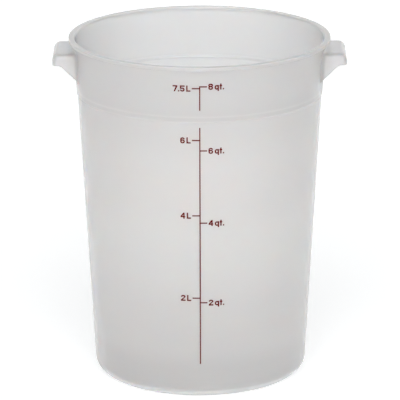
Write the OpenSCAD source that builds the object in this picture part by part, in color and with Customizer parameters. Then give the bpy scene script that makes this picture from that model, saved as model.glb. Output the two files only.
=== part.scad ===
// Round food storage tub with two hollow lifting handles and a printed volume scale.
// Sizes are in millimetres. The origin is the middle of the resting plane, Z points up,
// the handles lie along X and the printed scale faces -Y.

/* [Tub wall] */
// Height from the table to the top of the rim
tub_h = 290.5; // [250:0.5:340]
// Outer radius of the tapered wall, carried down to the table
base_r = 89; // [82:0.5:96]
// Outer radius of the tapered wall, carried up to the step
shoulder_r = 102.5; // [98:0.1:112]
// Thickness of the wall
wall_t = 2; // [1.2:0.1:3]
// Radius of the rounded corner between the wall and the foot
corner_r = 12; // [8:0.5:15]

/* [Collar and rim] */
// Height of the collar, from the small step in the wall to the top of the rim
collar_h = 47.5; // [42:0.5:54]
// How far the collar stands out past the tapered wall
step_w = 0.6; // [0.3:0.1:2.5]
// Height of the small slope under the collar's lower edge
step_rise = 0.8; // [0.5:0.1:3]
// How much higher the step lies on the inside of the wall
step_lift = 4.6; // [1:0.1:6]
// How much the collar's radius grows from the step to the rim
collar_flare = 2.6; // [0:0.1:4]
// How far the rim stands out past the collar
rim_w = 3.9; // [3:0.1:8]
// Height of the rim's outer edge
rim_h = 3.4; // [2:0.1:4]
// Radius of the rim's outer corners, above and below
rim_corner_r = 0.8; // [0.4:0.1:0.9]
// Width of the sloped edge inside the rim
bevel_w = 1.2; // [0.4:0.1:1.6]
// Height of the sloped edge inside the rim
bevel_h = 1.4; // [1:0.1:5]

/* [Base] */
// Thickness of the base
floor_t = 2.8; // [1.5:0.1:4]
// Width of the flat ring that the tub stands on
foot_w = 7.65; // [4:0.05:12]
// Height that the middle of the base is raised above the table
kick_h = 4; // [1.5:0.1:6]
// Width of the slope between the foot ring and the raised middle
kick_w = 4; // [2:0.1:8]
// Radius of the round moulding mark in the middle of the base
gate_r = 10; // [5:0.5:20]
// Depth of the moulding mark
gate_h = 0.8; // [0.4:0.1:1.4]

/* [Handles] */
// Width of a handle from front to back
handle_w = 51.5; // [40:0.5:60]
// How far the handle's lip stands out past the collar
handle_reach = 16.9; // [14:0.1:26]
// Depth of the handle's top plate below the top of the rim
handle_drop = 10; // [8:0.1:15]
// Height of the outer lip
lip_h = 9.7; // [8:0.1:12]
// Level length along the bottom of each side, inward from the lip
lip_w = 6.7; // [4:0.1:9]
// Height of the sloping sides where they meet the wall
side_h = 24.6; // [18:0.1:28]
// Thickness of the plate, lip and sides
handle_t = 2; // [1.2:0.1:2.8]
// Radius of the outer corner between plate and lip
lip_corner_r = 5.8; // [4:0.1:8]
// Radius of the edges along the sides, where they meet the plate and the lip
side_edge_r = 4.2; // [3:0.1:6]

/* [Printed scale] */
// Thickness of the ink
ink_t = 0.1; // [0.05:0.01:0.3]
// Depth of the full mark below the top of the rim
fill_drop = 17; // [12:0.5:24]
// Space between the step and the upper part of the line
line_gap_above = 10.2; // [4:0.1:14]
// Space between the step and the lower part of the line
line_gap_below = 4.6; // [2:0.1:12]
// Height of the line's lower end above the table
line_foot_z = 31.5; // [20:0.5:60]
// Width of the upright line
line_w = 0.95; // [0.6:0.05:2]
// Thickness of the level marks
tick_t = 1; // [0.6:0.05:2]
// Reach of the litre marks from the middle of the line
litre_tick_l = 6.4; // [4:0.1:10]
// Reach of the quart marks from the middle of the line
quart_tick_l = 5.9; // [4:0.1:10]
// Space between a mark and its number
mark_gap = 1.1; // [0.5:0.1:3]

/* [Numerals] */
// Height of the numerals
numeral_h = 5.2; // [4.5:0.1:7]
// Width of the numerals
numeral_w = 3.8; // [3:0.1:5]
// Thickness of the numerals' strokes
stroke = 1.1; // [0.6:0.05:1.2]
// Space between a number and the unit beside it
word_gap = 1.3; // [0.5:0.1:3]
// Width of the capital letter L
capital_w = 3.4; // [2.5:0.1:4.5]
// Height of the small letters
letter_h = 3.9; // [3:0.1:4.5]
// Width of the small letter q
letter_w = 3.5; // [2.8:0.1:4.5]
// Length of the tail of the q
tail_h = 1.2; // [0.6:0.1:2]
// Width of the small letter t
cross_w = 2.1; // [1.8:0.1:3]
// Height that the t rises above the other small letters
cross_rise = 1.2; // [0.5:0.1:2]
// Space between letters
letter_gap = 0.5; // [0.3:0.05:1]
// Width of a full stop
stop_w = 1.1; // [0.6:0.1:1.5]

/* [Hidden] */
$fn = 180;
// Overrun of every cut past the surface that it opens
over = 1;

// What the marks say, in quarts and in tenths of a litre, and their heights as shares of the
// full mark's height
quart_values = [8, 6, 4, 2];
quart_mark_shares = [1, 0.7993, 0.5706, 0.3148];
litre_tenths = [75, 60, 40, 20];
litre_mark_shares = [0.9944, 0.8320, 0.5940, 0.3297];

// Shapes of the numerals, as shares of the numeral's own size or of its stroke
lower_loop_share = 0.54;
hook_share = 0.32;
slant_share = 1.3;
leg_share = 0.2;
crossbar_share = 0.22;
crossbar_end_share = 0.12;

// Taper of the wall and of the collar, as radius gained for each unit of height
step_z = tub_h - collar_h;
taper = (shoulder_r - base_r) / step_z;
rim_z = tub_h - rim_h;
collar_r0 = shoulder_r + step_w;
collar_taper = collar_flare / (rim_z - step_z);
collar_r1 = collar_r0 + collar_flare;
rim_r = collar_r1 + rim_w;
function wall_r(z) = base_r + taper * z;
function collar_r(z) = collar_r0 + collar_taper * (z - step_z);

// A round corner of radius r that touches a level floor and the sloping line x = x0 + slope * z:
// the place of its middle, and the point where it meets the line
function slope_len(slope) = sqrt(1 + slope * slope);
function corner_mid(x0, slope, r, z0) = [x0 + slope * (z0 + r) - r * slope_len(slope), z0 + r];
function corner_end(x0, slope, r, z0) =
    corner_mid(x0, slope, r, z0) + [r / slope_len(slope), -r * slope / slope_len(slope)];

corner_in_r = corner_r - wall_t;
outer_mid = corner_mid(base_r, taper, corner_r, 0);
outer_end = corner_end(base_r, taper, corner_r, 0);
inner_mid = corner_mid(base_r - wall_t, taper, corner_in_r, floor_t);
inner_end = corner_end(base_r - wall_t, taper, corner_in_r, floor_t);

// The raised middle of the base keeps its thickness round the bends of the slope
foot_r = outer_mid[0] - foot_w;
bend_w = floor_t * tan(atan(kick_h / kick_w) / 2);
middle_z = kick_h + floor_t;
step_in_z = step_z + step_lift;
// Inner radius of the collar where the sloped edge of the mouth begins
mouth_r = collar_r(tub_h - bevel_h) - wall_t;

module tub_outline() {
    rim_mid_r = rim_r - rim_corner_r;
    polygon([[0, 0], [outer_mid[0], 0], outer_end,
        [wall_r(step_z - step_rise), step_z - step_rise],
        [collar_r0, step_z], [collar_r1, rim_z],
        [rim_mid_r, rim_z], [rim_r, rim_z + rim_corner_r],
        [rim_r, tub_h - rim_corner_r], [rim_mid_r, tub_h], [0, tub_h]]);
    translate(outer_mid) circle(corner_r);
    for (z = [rim_z + rim_corner_r, tub_h - rim_corner_r])
        translate([rim_mid_r, z]) circle(rim_corner_r);
}

module tub_hollow() {
    polygon([[0, middle_z + gate_h], [gate_r, middle_z + gate_h], [gate_r, middle_z],
        [foot_r - kick_w + bend_w, middle_z], [foot_r + bend_w, floor_t],
        [inner_mid[0], floor_t], inner_end,
        [wall_r(step_in_z - step_rise) - wall_t, step_in_z - step_rise],
        [collar_r(step_in_z) - wall_t, step_in_z],
        [mouth_r, tub_h - bevel_h], [mouth_r + bevel_w, tub_h],
        [mouth_r + bevel_w, tub_h + over], [0, tub_h + over]]);
    translate(inner_mid) circle(corner_in_r);
}

// The hollow under the raised middle of the base, with the moulding mark at its centre
module kick_hollow() {
    polygon([[0, -over], [foot_r, -over], [foot_r, 0], [foot_r - kick_w, kick_h],
        [gate_r, kick_h], [gate_r, kick_h + gate_h], [0, kick_h + gate_h]]);
}

module tub() {
    color([0.86, 0.87, 0.87, 0.75])
    rotate_extrude()
    difference() {
        tub_outline();
        tub_hollow();
        kick_hollow();
    }
}

// Heights of the handle's plate, the lower edge of its lip and the foot of its sides
plate_z = tub_h - handle_drop;
lip_z = plate_z - lip_h;
side_z = plate_z - side_h;
handle_x = collar_r1 + handle_reach;
half_w = handle_w / 2;
// The handle's solid starts inside the collar, which then cuts it to its own surface
root_x = sqrt(pow(collar_r0, 2) - pow(half_w, 2)) - handle_t;
// Where the foot of the sides meets the collar, seen from the front
side_foot_x = sqrt(pow(collar_r(side_z), 2) - pow(half_w, 2));

// The plate and lip seen from the front, drawn in by t
module hood_front(t, low_z) {
    r = lip_corner_r - t;
    x = handle_x - t;
    z = plate_z - t;
    polygon([[root_x, low_z], [x, low_z], [x, z - r], [x - r, z], [root_x, z]]);
    translate([x - r, z - r]) circle(r);
}

// A strip from low to high, half_strip wide to each side, with its two upper corners rounded
module arch(half_strip, low, high, r) {
    mid = half_strip - r;
    polygon([[-half_strip, low], [half_strip, low], [half_strip, high - r], [mid, high],
        [-mid, high], [-half_strip, high - r]]);
    for (side = [-1, 1])
        translate([side * mid, high - r]) circle(r);
}

// The hood as a full block with rounded edges, drawn in by t for its hollow
module hood(t, low_z) {
    intersection() {
        translate([0, handle_w, 0]) rotate([90, 0, 0])
            linear_extrude(2 * handle_w) hood_front(t, low_z);
        translate([root_x, 0, 0]) rotate([90, 0, 90])
            linear_extrude(handle_x + over - root_x)
                arch(half_w - t, low_z, plate_z - t, side_edge_r - t);
        translate([0, 0, low_z]) rotate([0, 0, -90])
            linear_extrude(plate_z + over - low_z)
                arch(half_w - t, root_x, handle_x - t, side_edge_r - t);
    }
}

// The handle seen from the front: level under the lip, then sloping down to the wall
module hood_side() {
    polygon([[root_x, side_z], [side_foot_x, side_z], [handle_x - lip_w, lip_z],
        [handle_x + over, lip_z], [handle_x + over, plate_z + over], [root_x, plate_z + over]]);
}

module collar_block() {
    low_z = side_z - 2 * over;
    rotate_extrude()
        polygon([[0, low_z], [collar_r(low_z), low_z], [collar_r(rim_z), rim_z], [0, rim_z]]);
}

module handle() {
    difference() {
        intersection() {
            hood(0, side_z - over);
            translate([0, handle_w, 0]) rotate([90, 0, 0])
                linear_extrude(2 * handle_w) hood_side();
        }
        hood(handle_t, side_z - 2 * over);
        collar_block();
    }
}

module right_handle() {
    color([0.88, 0.89, 0.9, 0.8]) handle();
}

module left_handle() {
    color([0.88, 0.89, 0.9, 0.8]) mirror([1, 0, 0]) handle();
}

full_z = tub_h - fill_drop;
// Reach of the ink of one mark above and below the mark's own height
ink_reach = numeral_h / 2 + tail_h + cross_rise;

// Ink film on the tapered wall or on the collar, where the flat artwork is carried onto it from -Y
module ink_on_wall(low_z, high_z) {
    intersection() {
        rotate_extrude()
            polygon([[wall_r(low_z), low_z], [wall_r(low_z) + ink_t, low_z],
                [wall_r(high_z) + ink_t, high_z], [wall_r(high_z), high_z]]);
        rotate([90, 0, 0]) linear_extrude(rim_r) children();
    }
}

module ink_on_collar(low_z, high_z) {
    intersection() {
        rotate_extrude()
            polygon([[collar_r(low_z), low_z], [collar_r(low_z) + ink_t, low_z],
                [collar_r(high_z) + ink_t, high_z], [collar_r(high_z), high_z]]);
        rotate([90, 0, 0]) linear_extrude(rim_r) children();
    }
}

// Ink for one mark: on the collar where the mark lies above the step, or else on the wall
module ink_at(z) {
    if (z - ink_reach > step_z) ink_on_collar(z - ink_reach, z + ink_reach) children();
    else ink_on_wall(z - ink_reach, z + ink_reach) children();
}

module ink_color() {
    color([0.33, 0.13, 0.11]) children();
}

module upper_scale_line() {
    top_z = full_z + tick_t / 2;
    end_z = step_z + line_gap_above;
    ink_color() ink_on_collar(end_z, top_z)
        translate([-line_w / 2, end_z]) square([line_w, top_z - end_z]);
}

module lower_scale_line() {
    top_z = step_z - line_gap_below;
    ink_color() ink_on_wall(line_foot_z, top_z)
        translate([-line_w / 2, line_foot_z]) square([line_w, top_z - line_foot_z]);
}

module litre_ticks() {
    ink_color()
    for (share = litre_mark_shares)
        ink_at(share * full_z)
            translate([-litre_tick_l, share * full_z - tick_t / 2])
                square([litre_tick_l - line_w / 2, tick_t]);
}

module quart_ticks() {
    ink_color()
    for (share = quart_mark_shares)
        ink_at(share * full_z)
            translate([line_w / 2, share * full_z - tick_t / 2])
                square([quart_tick_l - line_w / 2, tick_t]);
}

// A bar with round ends that fills a w by h box, upright or lying down
module round_bar(w, h) {
    r = min(w, h) / 2;
    translate([r, r]) circle(r);
    translate([w - r, h - r]) circle(r);
    if (w > h) translate([r, 0]) square([w - 2 * r, h]);
    if (h > w) translate([0, r]) square([w, h - 2 * r]);
}

module loop(w, h, t) {
    difference() {
        round_bar(w, h);
        translate([t, t]) round_bar(w - 2 * t, h - 2 * t);
    }
}

lower_loop_h = (numeral_h + stroke) * lower_loop_share;
hook_h = numeral_h * hook_share;

module figure_2() {
    mid_z = numeral_h - lower_loop_h / 2;
    difference() {
        translate([0, numeral_h - lower_loop_h]) loop(numeral_w, lower_loop_h, stroke);
        translate([-over, -over]) square([numeral_w + 2 * over, mid_z + over]);
        translate([-over, -over]) square([numeral_w / 2 + over, numeral_h - hook_h + over]);
    }
    polygon([[0, 0], [0, stroke], [numeral_w - stroke, mid_z], [numeral_w, mid_z],
        [slant_share * stroke, stroke], [slant_share * stroke, 0]]);
    square([numeral_w, stroke]);
}

module figure_4() {
    stem_x = numeral_w * (1 - crossbar_end_share) - stroke;
    bar_z = numeral_h * crossbar_share;
    translate([stem_x, 0]) square([stroke, numeral_h]);
    translate([0, bar_z]) square([numeral_w, stroke]);
    polygon([[0, bar_z + stroke], [stem_x, numeral_h], [stem_x + stroke, numeral_h],
        [slant_share * stroke, bar_z + stroke]]);
}

module figure_5() {
    translate([0, numeral_h - stroke]) square([numeral_w, stroke]);
    translate([0, lower_loop_h - stroke]) square([stroke, numeral_h - lower_loop_h + stroke]);
    difference() {
        loop(numeral_w, lower_loop_h, stroke);
        translate([-over, hook_h])
            square([numeral_w / 2 + over, lower_loop_h - stroke - hook_h]);
    }
}

module figure_6() {
    loop(numeral_w, lower_loop_h, stroke);
    difference() {
        loop(numeral_w, numeral_h, stroke);
        translate([-over, -over]) square([numeral_w + 2 * over, lower_loop_h / 2 + over]);
        translate([numeral_w / 2, -over]) square([numeral_w, numeral_h - hook_h + over]);
    }
}

module figure_7() {
    foot_x = numeral_w * leg_share;
    translate([0, numeral_h - stroke]) square([numeral_w, stroke]);
    polygon([[foot_x, 0], [foot_x + stroke, 0], [numeral_w, numeral_h - stroke],
        [numeral_w - slant_share * stroke, numeral_h - stroke]]);
}

module figure_8() {
    loop(numeral_w, lower_loop_h, stroke);
    translate([0, lower_loop_h - stroke])
        loop(numeral_w, numeral_h - lower_loop_h + stroke, stroke);
}

module capital_l() {
    square([stroke, numeral_h]);
    square([capital_w, stroke]);
}

module full_stop() {
    square(stop_w);
}

module small_q() {
    loop(letter_w, letter_h, stroke);
    translate([letter_w - stroke, -tail_h]) square([stroke, letter_h + tail_h]);
}

module small_t() {
    stem_x = (cross_w - stroke) / 2;
    translate([stem_x, 0]) square([stroke, letter_h + cross_rise]);
    translate([0, letter_h - stroke]) square([cross_w, stroke]);
}

module figure(value) {
    if (value == 2) figure_2();
    if (value == 4) figure_4();
    if (value == 5) figure_5();
    if (value == 6) figure_6();
    if (value == 7) figure_7();
    if (value == 8) figure_8();
}

// Number and litre sign, ending beside the mark: the whole litres, and the tenth where there is one
module litre_words(tenths) {
    whole = floor(tenths / 10);
    tenth = tenths % 10;
    capital_x = -litre_tick_l - mark_gap - capital_w;
    last_x = capital_x - word_gap - numeral_w;
    translate([capital_x, 0]) capital_l();
    translate([last_x, 0]) figure(tenth > 0 ? tenth : whole);
    if (tenth > 0) {
        translate([last_x - letter_gap - stop_w, 0]) full_stop();
        translate([last_x - 2 * letter_gap - stop_w - numeral_w, 0]) figure(whole);
    }
}

// Number and the shortened word for quarts, starting beside the mark
module quart_words(value) {
    figure_x = quart_tick_l + mark_gap;
    q_x = figure_x + numeral_w + word_gap;
    t_x = q_x + letter_w + letter_gap;
    translate([figure_x, 0]) figure(value);
    translate([q_x, 0]) small_q();
    translate([t_x, 0]) small_t();
    translate([t_x + cross_w + letter_gap, 0]) full_stop();
}

module litre_numerals() {
    ink_color()
    for (i = [0:len(litre_tenths) - 1])
        ink_at(litre_mark_shares[i] * full_z)
            translate([0, litre_mark_shares[i] * full_z - numeral_h / 2])
                litre_words(litre_tenths[i]);
}

module quart_numerals() {
    ink_color()
    for (i = [0:len(quart_values) - 1])
        ink_at(quart_mark_shares[i] * full_z)
            translate([0, quart_mark_shares[i] * full_z - numeral_h / 2])
                quart_words(quart_values[i]);
}

tub();
left_handle();
right_handle();
upper_scale_line();
lower_scale_line();
litre_ticks();
quart_ticks();
litre_numerals();
quart_numerals();
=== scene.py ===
import math

import bpy
import numpy as np
from mathutils import Euler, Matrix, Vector


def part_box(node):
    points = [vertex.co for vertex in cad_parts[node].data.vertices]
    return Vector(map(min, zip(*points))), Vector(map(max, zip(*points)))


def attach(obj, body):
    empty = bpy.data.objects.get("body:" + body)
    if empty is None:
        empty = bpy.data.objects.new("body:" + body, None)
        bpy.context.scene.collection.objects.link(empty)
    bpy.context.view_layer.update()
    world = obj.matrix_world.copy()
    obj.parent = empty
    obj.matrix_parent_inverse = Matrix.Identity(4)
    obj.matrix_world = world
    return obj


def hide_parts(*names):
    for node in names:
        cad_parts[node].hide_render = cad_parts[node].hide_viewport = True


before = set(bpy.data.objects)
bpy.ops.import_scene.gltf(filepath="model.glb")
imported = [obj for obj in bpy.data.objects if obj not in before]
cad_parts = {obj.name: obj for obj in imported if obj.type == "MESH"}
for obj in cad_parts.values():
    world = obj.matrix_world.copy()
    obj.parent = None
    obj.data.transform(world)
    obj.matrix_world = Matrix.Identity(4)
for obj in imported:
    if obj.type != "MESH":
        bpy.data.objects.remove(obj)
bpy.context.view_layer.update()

# Lengths are in metres. The first ones come from the frame, and the rest repeat the source's sizes.
tub_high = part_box("tub")[1]
handle_low, handle_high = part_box("right_handle")
TUB_H = tub_high.z
RIM_R = min(tub_high.x, tub_high.y)
HANDLE_X = handle_high.x
HANDLE_HALF_W = handle_high.y
PLATE_Z = handle_high.z
SIDE_Z = handle_low.z

BASE_R = 0.089
SHOULDER_R = 0.1025
WALL_T = 0.002
CORNER_R = 0.012
COLLAR_H = 0.0475
STEP_W = 0.0006
STEP_RISE = 0.0008
STEP_LIFT = 0.0046
COLLAR_FLARE = 0.0026
RIM_H = 0.0034
RIM_CORNER_R = 0.0008
BEVEL_W = 0.0012
BEVEL_H = 0.0014
FLOOR_T = 0.0028
FOOT_W = 0.00765
KICK_H = 0.004
KICK_W = 0.004
GATE_R = 0.01
GATE_H = 0.0008

HANDLE_T = 0.002
LIP_H = 0.0097
LIP_W = 0.0067
LIP_CORNER_R = 0.0058
SIDE_EDGE_R = 0.0042

# Small roundings that the solids leave out
SHARP_R = 0.0003
EDGE_R = 0.0008
BEND_R = 0.0015
ROOT_R = 0.0026
FOOT_EDGE_R = 0.001
SIDE_BEND_R = 0.0015

STEP_Z = TUB_H - COLLAR_H
RIM_Z = TUB_H - RIM_H
TAPER = (SHOULDER_R - BASE_R) / STEP_Z
COLLAR_R = SHOULDER_R + STEP_W
COLLAR_TAPER = COLLAR_FLARE / (RIM_Z - STEP_Z)
FOOT_R = BASE_R + TAPER * CORNER_R - CORNER_R * math.hypot(1, TAPER) - FOOT_W
LIP_Z = PLATE_Z - LIP_H

# How finely the tub is turned, and the longest step along a rounded corner
TURN_STEPS = 288
ARC_STEP = math.radians(12)

# The handles' field: size of its cells, how its surface is found, and how far a fillet reaches
FIELD_CELL = 0.0005
CELL_CORNERS = 8
PROBE_PARTS = 50
SETTLE_ROUNDS = 6
LEAST_STEEPNESS = 0.25
FILLET_MARGIN = 1.6 * ROOT_R
FIELD_ROOM = 2 * ROOT_R
# The handle's mesh starts this deep in the wall, and its fillets run out just under the surface
ROOT_DEPTH = 0.001
ROOT_SINK = 0.00008

# Tones at heights above the table: the plastic's own tone with painted light and shade on it.
# Outside, it is darkest in the foot and the collar, which is painted shade, and a painted band
# of light brightens the middle. Close stops paint light and dark lines, painted highlights and
# shadows, at the ledges and the rim.
OUTSIDE_TONES_AND_PAINTED_LIGHT = [
    (0, 0.755),
    (0.0236, 0.812),
    (0.045, 0.89),
    (0.073, 0.905),
    (0.115, 0.948),
    (0.1416, 0.953),
    (0.176, 0.905),
    (0.202, 0.89),
    (0.236, 0.83),
    (0.2418, 0.824),
    (0.243, 0.86),
    (0.2442, 0.762),
    (0.2458, 0.762),
    (0.2475, 0.858),
    (0.249, 0.77),
    (0.2892, 0.77),
    (0.2899, 1),
]
# Inside, painted light makes the floor brightest and the wall lighter going up, and close stops
# paint light and dark lines at the inner ledge and under the rim.
INSIDE_TONES_AND_PAINTED_LIGHT = [
    (0.0075, 1),
    (0.0085, 0.76),
    (0.05, 0.8),
    (0.14, 0.92),
    (0.2451, 0.92),
    (0.2459, 0.81),
    (0.2472, 0.81),
    (0.2479, 0.965),
    (0.2487, 0.965),
    (0.2493, 0.87),
    (0.2505, 0.92),
    (0.283, 0.92),
    (0.2885, 0.965),
    (0.2894, 0.86),
    (0.2902, 0.88),
    (0.2905, 0.95),
]
# Green and blue as shares of red, outside and inside: the plastic's faint tint, with painted light
# that makes the outside warmer and the inside cooler
OUTSIDE_SHARES = (0.971, 0.953)
INSIDE_SHARES = (1.002, 1.005)
# Radii where the inner tones end and the outer ones are full, at the foot of the tapered wall
INSIDE_END = BASE_R - WALL_T * 5 / 8
OUTSIDE_START = BASE_R - WALL_T / 4
# Painted light on the handles, as factors on the wall's tones: the plates lighter and the sides
# a little bluer, and where they set in
PLATE_PAINTED_LIGHT = (1.12, 1.13, 1.145)
SIDE_PAINTED_LIGHT = (1, 1.005, 1.03)
PLATE_BLEND = (RIM_R - 0.001, RIM_R + 0.002)
SIDE_BLEND = (HANDLE_HALF_W - 0.001, HANDLE_HALF_W)

WHITE = (1, 1, 1)
FLOW_TONE = (0.99, 0.99, 0.99)
PLASTIC_ROUGHNESS = (0.38, 0.5)
PLASTIC_IOR = 1.49
FROST_DEPTH = 0.00004
INK_THICK = (0.138, 0.012, 0.009)
INK_THIN = (0.162, 0.018, 0.014)
INK_ROUGHNESS = (0.42, 0.6)
INK_DEPTH = 0.00002
FLOOR_TONES = ((0.9, 0.9, 0.9), (0.92, 0.92, 0.92))
FLOOR_ROUGHNESS = (0.7, 0.8)
FLOOR_GLOW = 0.405
FLOOR_HALF = 12

# Angles in degrees. The focal length is in pixels of a picture FRAME_SIDE pixels wide.
CAMERA_ELEVATION = 16.5
CAMERA_ROLL = -0.176
CAMERA_DISTANCE = 3.0
CAMERA_CLIP = (0.1, 100)
TARGET = Vector((0, 0, 0.147))
SENSOR_MM = 36
FRAME_SIDE = 400
FOCAL_PIXELS = 3539

LIGHT_COLOUR = (0.985, 0.995, 1)
SKY_STRENGTH = 1.02
# Sines of the elevations where the white walls begin to fade and where the ceiling is dark
WALLS_TOP = 0.4
CEILING = 0.7


def wall_r(z):
    return BASE_R + TAPER * z


def collar_r(z):
    return COLLAR_R + COLLAR_TAPER * (z - STEP_Z)


# The tub, turned from its outline

def round_corner(before, corner, after, radius):
    """Points of the arc that rounds a corner of an outline."""
    back = (before - corner).normalized()
    on = (after - corner).normalized()
    half = back.angle(on) / 2
    middle = corner + (back + on).normalized() * (radius / math.sin(half))
    first = corner + back * (radius / math.tan(half)) - middle
    sweep = first.angle_signed(corner + on * (radius / math.tan(half)) - middle)
    steps = max(2, math.ceil(abs(sweep) / ARC_STEP))
    points = []
    for i in range(steps + 1):
        turn = -sweep * i / steps
        cos, sin = math.cos(turn), math.sin(turn)
        spoke = Vector((first.x * cos - first.y * sin, first.x * sin + first.y * cos))
        points.append(middle + spoke)
    return points


def tub_outline():
    """Section of the tub as (r, z) points: from the axis under the base, up, and down inside."""
    middle_z = KICK_H + FLOOR_T
    bend = FLOOR_T * math.tan(math.atan2(KICK_H, KICK_W) / 2)
    step_in = STEP_Z + STEP_LIFT
    mouth_r = collar_r(TUB_H - BEVEL_H) - WALL_T
    corners = [
        (0, KICK_H + GATE_H, 0),
        (GATE_R, KICK_H + GATE_H, SHARP_R),
        (GATE_R, KICK_H, SHARP_R),
        (FOOT_R - KICK_W, KICK_H, BEND_R),
        (FOOT_R, 0, FOOT_EDGE_R),
        (BASE_R, 0, CORNER_R),
        (wall_r(STEP_Z - STEP_RISE), STEP_Z - STEP_RISE, BEND_R),
        (COLLAR_R, STEP_Z, EDGE_R),
        (collar_r(RIM_Z), RIM_Z, EDGE_R),
        (RIM_R, RIM_Z, RIM_CORNER_R),
        (RIM_R, TUB_H, RIM_CORNER_R),
        (mouth_r + BEVEL_W, TUB_H, SHARP_R),
        (mouth_r, TUB_H - BEVEL_H, EDGE_R),
        (collar_r(step_in) - WALL_T, step_in, EDGE_R),
        (wall_r(step_in - STEP_RISE) - WALL_T, step_in - STEP_RISE, BEND_R),
        (BASE_R - WALL_T + TAPER * FLOOR_T, FLOOR_T, CORNER_R - WALL_T),
        (FOOT_R + bend, FLOOR_T, BEND_R),
        (FOOT_R - KICK_W + bend, middle_z, BEND_R),
        (GATE_R, middle_z, SHARP_R),
        (GATE_R, middle_z + GATE_H, SHARP_R),
        (0, middle_z + GATE_H, 0),
    ]
    points = []
    for i, (r, z, radius) in enumerate(corners):
        here = Vector((r, z))
        if radius == 0:
            points.append(here)
            continue
        before = Vector(corners[i - 1][:2])
        after = Vector(corners[i + 1][:2])
        points.extend(round_corner(before, here, after, radius))
    return points


def make_mesh(name, points, faces):
    mesh = bpy.data.meshes.new(name)
    mesh.from_pydata(points, [], faces)
    mesh.validate()
    mesh.shade_smooth()
    piece = bpy.data.objects.new(name, mesh)
    bpy.context.scene.collection.objects.link(piece)
    return piece


def revolve(name, outline):
    """Closed mesh of an outline that starts and ends on the axis, turned about Z."""
    ring = outline[1:-1]
    count = len(ring)
    turns = [2 * math.pi * i / TURN_STEPS for i in range(TURN_STEPS)]
    points = [(p.x * math.cos(a), p.x * math.sin(a), p.y) for a in turns for p in ring]
    first = len(points)
    points += [(0, 0, outline[0].y), (0, 0, outline[-1].y)]
    faces = []
    for i in range(TURN_STEPS):
        here = i * count
        there = (i + 1) % TURN_STEPS * count
        faces.append((first, there, here))
        faces.append((first + 1, here + count - 1, there + count - 1))
        faces += [(here + k, there + k, there + k + 1, here + k + 1) for k in range(count - 1)]
    return make_mesh(name, points, faces)


# The handles, each the zero surface of a distance field

def meet(a, b, radius):
    """Field of what lies in both a and b, with the edge between them rounded."""
    u, v = np.maximum(a + radius, 0), np.maximum(b + radius, 0)
    return np.minimum(np.maximum(a, b), -radius) + np.hypot(u, v)


def join(a, b, radius):
    """Field of what lies in a or b, with a fillet between them."""
    return -meet(-a, -b, radius)


def handle_field(x, y, z):
    """Signed distance to the right handle and the strip of wall behind it."""
    r = np.hypot(x, y)
    top, lip, side = z - PLATE_Z, x - HANDLE_X, np.abs(y) - HANDLE_HALF_W
    block = meet(meet(top, lip, LIP_CORNER_R), side, SIDE_EDGE_R)
    hollow = block + HANDLE_T

    # Level under the lip, then sloping down to the foot of the sides
    corner_x = HANDLE_X - LIP_W
    foot_x = math.sqrt(collar_r(SIDE_Z) ** 2 - HANDLE_HALF_W**2)
    run, rise = corner_x - foot_x, LIP_Z - SIDE_Z
    slope = ((x - foot_x) * rise - (z - SIDE_Z) * run) / math.hypot(run, rise)
    under = meet(join(LIP_Z - z, slope, SIDE_BEND_R), SIDE_Z - z, SHARP_R)
    hood = meet(np.maximum(block, -hollow), under, SHARP_R)

    # Joined to the wall, and cut off just past the fillets
    collar = r - collar_r(z) + ROOT_SINK
    solid = join(hood, collar, ROOT_R)
    window = np.maximum(side, np.maximum(z - PLATE_Z, SIDE_Z - z)) - FILLET_MARGIN
    back = collar_r(z) - ROOT_DEPTH - r
    return np.maximum(np.maximum(solid, window), back)


def field_mesh(field, low, high, cell):
    """Points and faces of a field's zero surface, with one point for each cell that it crosses."""
    counts = [math.ceil((b - a) / cell) + 1 for a, b in zip(low, high)]
    grid = np.meshgrid(*[a + cell * np.arange(n) for a, n in zip(low, counts)], indexing="ij")
    inside = field(*grid) < 0
    held = sum(
        inside[i : counts[0] - 1 + i, j : counts[1] - 1 + j, k : counts[2] - 1 + k].astype(int)
        for i in (0, 1) for j in (0, 1) for k in (0, 1)
    )
    crossed = (held > 0) & (held < CELL_CORNERS)
    number = np.full(crossed.shape, -1)
    number[crossed] = np.arange(crossed.sum())

    # Each point starts in the middle of its cell and moves down the field's slope to the surface
    points = (np.argwhere(crossed) + 0.5) * cell + np.array(low)
    probe = cell / PROBE_PARTS
    for _ in range(SETTLE_ROUNDS):
        slopes = []
        for axis in range(3):
            shift = np.eye(3)[axis] * probe
            rise = field(*(points + shift).T) - field(*(points - shift).T)
            slopes.append(rise / (2 * probe))
        slopes = np.stack(slopes, 1)
        steep = np.maximum((slopes**2).sum(1), LEAST_STEEPNESS)
        points = points - slopes * (field(*points.T) / steep)[:, None]

    # One face across each grid edge that the surface crosses
    faces = []
    for axis in range(3):
        unit = np.eye(3, dtype=int)
        one, two = unit[(axis + 1) % 3], unit[(axis + 2) % 3]
        here = np.moveaxis(inside, axis, 0)
        change = np.moveaxis(here[:-1] != here[1:], 0, axis)
        at = np.argwhere(change)
        around = [at - one - two, at - two, at, at - one]
        quads = np.stack([number[tuple(c.T)] for c in around], 1)
        leaving = inside[tuple(at.T)]
        faces.append(np.where(leaving[:, None], quads, quads[:, ::-1]))
    return points, np.concatenate(faces)


def make_handle(name, side):
    """One handle: side is 1 for the right one and -1 for the left one."""
    room = FIELD_ROOM
    low_x = math.sqrt((COLLAR_R - ROOT_DEPTH) ** 2 - (HANDLE_HALF_W + room) ** 2) - room
    low = (low_x, -HANDLE_HALF_W - room, SIDE_Z - room)
    high = (HANDLE_X + room, HANDLE_HALF_W + room, PLATE_Z + room)
    points, faces = field_mesh(handle_field, low, high, FIELD_CELL)
    if side < 0:
        points = points * np.array([-1, 1, 1])
        faces = faces[:, ::-1]
    return make_mesh(name, points.tolist(), faces.tolist())


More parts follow.
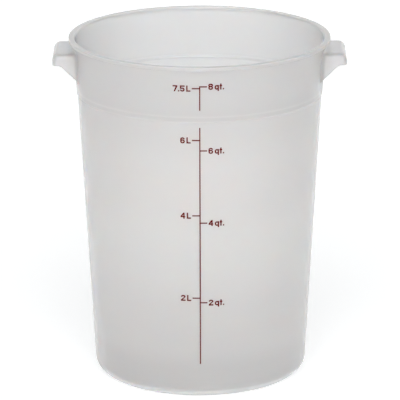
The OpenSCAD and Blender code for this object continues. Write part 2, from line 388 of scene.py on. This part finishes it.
def fuse(piece, part):
    """Join part to piece as one closed solid."""
    union = piece.modifiers.new("fuse", "BOOLEAN")
    union.operation = "UNION"
    union.solver = "EXACT"
    union.object = part
    with bpy.context.temp_override(object=piece, active_object=piece, selected_objects=[piece]):
        bpy.ops.object.modifier_apply(modifier=union.name)
    bpy.data.objects.remove(part)


# Materials

def new_material(name):
    material = bpy.data.materials.new(name)
    material.use_nodes = True
    nodes = material.node_tree.nodes
    return material, nodes, material.node_tree.links, nodes["Principled BSDF"]


def set_inputs(shader, values):
    for name, value in values.items():
        shader.inputs[name].default_value = value


def noise(nodes, links, scale, detail, stretch=(1, 1, 1)):
    """Noise in object space, in features per metre."""
    place = nodes.new("ShaderNodeTexCoord")
    mapping = nodes.new("ShaderNodeMapping")
    mapping.inputs["Scale"].default_value = stretch
    texture = nodes.new("ShaderNodeTexNoise")
    texture.inputs["Scale"].default_value = scale
    texture.inputs["Detail"].default_value = detail
    links.new(place.outputs["Object"], mapping.inputs["Vector"])
    links.new(mapping.outputs["Vector"], texture.inputs["Vector"])
    return texture.outputs["Fac"]


def map_range(nodes, links, source, start=(0, 1), end=(0, 1)):
    """A value carried over from one range to another, and held at the ends."""
    node = nodes.new("ShaderNodeMapRange")
    node.inputs["From Min"].default_value, node.inputs["From Max"].default_value = start
    node.inputs["To Min"].default_value, node.inputs["To Max"].default_value = end
    links.new(source, node.inputs["Value"])
    return node


def spread(nodes, links, source, low, high):
    """A value from 0 to 1 carried over to the range from low to high."""
    return map_range(nodes, links, source, end=(low, high)).outputs["Result"]


def share_between(nodes, links, source, low, high):
    """0 where the source is below low, 1 where it is above high."""
    return map_range(nodes, links, source, start=(low, high)).outputs["Result"]


def mix(nodes, links, factor, first, second, blend="MIX"):
    """Two colours mixed. Each colour and the factor is a socket or a plain value."""
    node = nodes.new("ShaderNodeMix")
    node.data_type = "RGBA"
    node.blend_type = blend
    for name, source in (("Factor", factor), ("A", first), ("B", second)):
        if isinstance(source, bpy.types.NodeSocket):
            links.new(source, node.inputs[name])
        elif name == "Factor":
            node.inputs[name].default_value = source
        else:
            node.inputs[name].default_value = (*source, 1)
    return node.outputs["Result"]


def bump(nodes, links, source, depth, shader):
    node = nodes.new("ShaderNodeBump")
    node.inputs["Distance"].default_value = depth
    links.new(source, node.inputs["Height"])
    links.new(node.outputs["Normal"], shader.inputs["Normal"])


def place_parts(nodes, links):
    """Distance from the axis, height above the table, and distances from the middle planes."""
    place = nodes.new("ShaderNodeTexCoord").outputs["Object"]
    parts = nodes.new("ShaderNodeSeparateXYZ")
    links.new(place, parts.inputs["Vector"])
    level = nodes.new("ShaderNodeVectorMath")
    level.operation = "MULTIPLY"
    level.inputs[1].default_value = (1, 1, 0)
    links.new(place, level.inputs[0])
    reach = nodes.new("ShaderNodeVectorMath")
    reach.operation = "LENGTH"
    links.new(level.outputs["Vector"], reach.inputs[0])
    sizes = []
    for axis in "XY":
        size = nodes.new("ShaderNodeMath")
        size.operation = "ABSOLUTE"
        links.new(parts.outputs[axis], size.inputs[0])
        sizes.append(size.outputs["Value"])
    return reach.outputs["Value"], parts.outputs["Z"], *sizes


def height_ramp(nodes, links, height, stops, shares):
    """Colours that follow the height above the table, from (height, tone) stops."""
    ramp = nodes.new("ShaderNodeValToRGB")
    ramp.color_ramp.interpolation = "EASE"
    links.new(share_between(nodes, links, height, 0, TUB_H), ramp.inputs["Fac"])
    points = ramp.color_ramp.elements
    while len(points) < len(stops):
        points.new(1)
    for point, (stop, tone) in zip(points, stops):
        point.position = stop / TUB_H
        point.color = (tone, *(tone * share for share in shares), 1)
    return ramp.outputs["Color"]


def outside_share(nodes, links, reach, height):
    """0 on the inner face of the wall and 1 on the outer face."""
    taper = nodes.new("ShaderNodeMath")
    taper.operation = "MULTIPLY_ADD"
    taper.inputs[1].default_value = -TAPER
    links.new(height, taper.inputs[0])
    links.new(reach, taper.inputs[2])
    return share_between(nodes, links, taper.outputs["Value"], INSIDE_END, OUTSIDE_START)


def frosted_plastic():
    """Natural polypropylene: milky, with a fine frosted grain and faint clouds from moulding.
    Its tones carry painted light and shade by height, on the two faces of the wall and on the
    handles.
    """
    material, nodes, links, shader = new_material("frosted_plastic")
    reach, height, aside, afront = place_parts(nodes, links)
    clouds = noise(nodes, links, scale=18, detail=3, stretch=(1, 1, 0.45))
    flow = mix(nodes, links, clouds, FLOW_TONE, WHITE)
    # Painted light and shade: the height tones darken the foot and collar, lighten the middle of
    # the wall and paint light and dark lines at the ledges and the rim.
    outside = height_ramp(nodes, links, height, OUTSIDE_TONES_AND_PAINTED_LIGHT, OUTSIDE_SHARES)
    inside = height_ramp(nodes, links, height, INSIDE_TONES_AND_PAINTED_LIGHT, INSIDE_SHARES)
    # Painted light: the inner face of the wall gets lighter, cooler tones than the outer face.
    wall = mix(nodes, links, outside_share(nodes, links, reach, height), inside, outside)

    # Painted light: the handles' plates are made lighter than the wall, and their sides a little
    # bluer.
    handles = share_between(nodes, links, aside, *PLATE_BLEND)
    sides = share_between(nodes, links, afront, *SIDE_BLEND)
    handle_painted_light = mix(nodes, links, sides, PLATE_PAINTED_LIGHT, SIDE_PAINTED_LIGHT)
    handle_painted_light = mix(nodes, links, handles, WHITE, handle_painted_light)
    tone = mix(nodes, links, 1, flow, wall, "MULTIPLY")
    tone = mix(nodes, links, 1, tone, handle_painted_light, "MULTIPLY")
    links.new(tone, shader.inputs["Base Color"])

    grain = noise(nodes, links, scale=900, detail=4)
    links.new(spread(nodes, links, grain, *PLASTIC_ROUGHNESS), shader.inputs["Roughness"])
    bump(nodes, links, grain, FROST_DEPTH, shader)
    set_inputs(shader, {
        "IOR": PLASTIC_IOR,
        "Transmission Weight": 0.65,
        "Subsurface Weight": 1,
        "Subsurface Radius": (0.8, 1, 1.22),
        "Subsurface Scale": 0.003,
        "Coat Weight": 0.8,
        "Coat Roughness": 0.16,
        "Coat IOR": PLASTIC_IOR,
        "Alpha": 0.91,
    })
    return material


def printed_ink():
    """Dark red-brown screen print, slightly uneven in cover."""
    material, nodes, links, shader = new_material("printed_ink")
    cover = noise(nodes, links, scale=700, detail=3)
    links.new(mix(nodes, links, cover, INK_THICK, INK_THIN), shader.inputs["Base Color"])
    links.new(spread(nodes, links, cover, *INK_ROUGHNESS), shader.inputs["Roughness"])
    bump(nodes, links, cover, INK_DEPTH, shader)
    set_inputs(shader, {"Specular IOR Level": 0.05})
    return material


def pale_floor():
    """White ground with a faint glow of its own, as in a product photo."""
    material, nodes, links, shader = new_material("pale_floor")
    cloud = noise(nodes, links, scale=3, detail=2)
    links.new(mix(nodes, links, cloud, *FLOOR_TONES), shader.inputs["Base Color"])
    links.new(spread(nodes, links, cloud, *FLOOR_ROUGHNESS), shader.inputs["Roughness"])
    set_inputs(shader, {
        "Specular IOR Level": 0.1,
        "Emission Color": (*LIGHT_COLOUR, 1),
        "Emission Strength": FLOOR_GLOW,
    })
    return material


# Camera, floor and light

def make_camera():
    camera = bpy.data.objects.new("camera", bpy.data.cameras.new("camera"))
    bpy.context.scene.collection.objects.link(camera)
    up = math.radians(CAMERA_ELEVATION)
    back = Vector((0, -math.cos(up), math.sin(up)))
    camera.location = TARGET + back * CAMERA_DISTANCE
    aim = (-back).to_track_quat("-Z", "Y")
    camera.rotation_mode = "QUATERNION"
    camera.rotation_quaternion = aim @ Euler((0, 0, math.radians(CAMERA_ROLL))).to_quaternion()
    camera.data.sensor_width = SENSOR_MM
    camera.data.lens = FOCAL_PIXELS / FRAME_SIDE * SENSOR_MM
    camera.data.clip_start, camera.data.clip_end = CAMERA_CLIP
    bpy.context.scene.camera = camera


def make_floor():
    corners = [(-1, -1), (1, -1), (1, 1), (-1, 1)]
    points = [(x * FLOOR_HALF, y * FLOOR_HALF, 0) for x, y in corners]
    floor = make_mesh("floor", points, [(0, 1, 2, 3)])
    floor.data.materials.append(pale_floor())


def soft_sun(name, azimuth, elevation, width, strength):
    """Broad even light: azimuth 0 is the camera's side and 90 the right, all angles in degrees."""
    light = bpy.data.lights.new(name, "SUN")
    light.angle = math.radians(width)
    light.energy = strength
    light.color = LIGHT_COLOUR
    lamp = bpy.data.objects.new(name, light)
    bpy.context.scene.collection.objects.link(lamp)
    turn, up = math.radians(azimuth), math.radians(elevation)
    way = Vector((math.sin(turn) * math.cos(up), -math.cos(turn) * math.cos(up), math.sin(up)))
    lamp.rotation_mode = "QUATERNION"
    lamp.rotation_quaternion = way.to_track_quat("Z", "Y")


def make_light():
    """White walls all round, a dark ceiling, a broad soft front light and a weak one behind."""
    world = bpy.data.worlds.new("studio")
    bpy.context.scene.world = world
    world.use_nodes = True
    nodes, links = world.node_tree.nodes, world.node_tree.links
    background = nodes["Background"]
    background.inputs["Color"].default_value = (*LIGHT_COLOUR, 1)
    way = nodes.new("ShaderNodeTexCoord")
    parts = nodes.new("ShaderNodeSeparateXYZ")
    links.new(way.outputs["Generated"], parts.inputs["Vector"])
    fade = map_range(nodes, links, parts.outputs["Z"], (WALLS_TOP, CEILING), (SKY_STRENGTH, 0))
    fade.interpolation_type = "SMOOTHSTEP"
    links.new(fade.outputs["Result"], background.inputs["Strength"])
    soft_sun("front", azimuth=0, elevation=46, width=50, strength=1.42)
    soft_sun("back_high", azimuth=180, elevation=60, width=40, strength=0.3)


bpy.context.scene.view_settings.view_transform = "Standard"

make_camera()
make_floor()
make_light()

tub = revolve("tub_moulding", tub_outline())
fuse(tub, make_handle("right", 1))
fuse(tub, make_handle("left", -1))
tub.data.materials.clear()
tub.data.materials.append(frosted_plastic())
normals = tub.modifiers.new("normals", "WEIGHTED_NORMAL")
normals.keep_sharp = True
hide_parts("tub", "left_handle", "right_handle")
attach(tub, "root")

# The ink shows as its own CAD nodes
ink = printed_ink()
for name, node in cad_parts.items():
    if name.startswith(("upper_", "lower_", "litre_", "quart_")):
        node.data.materials.clear()
        node.data.materials.append(ink)
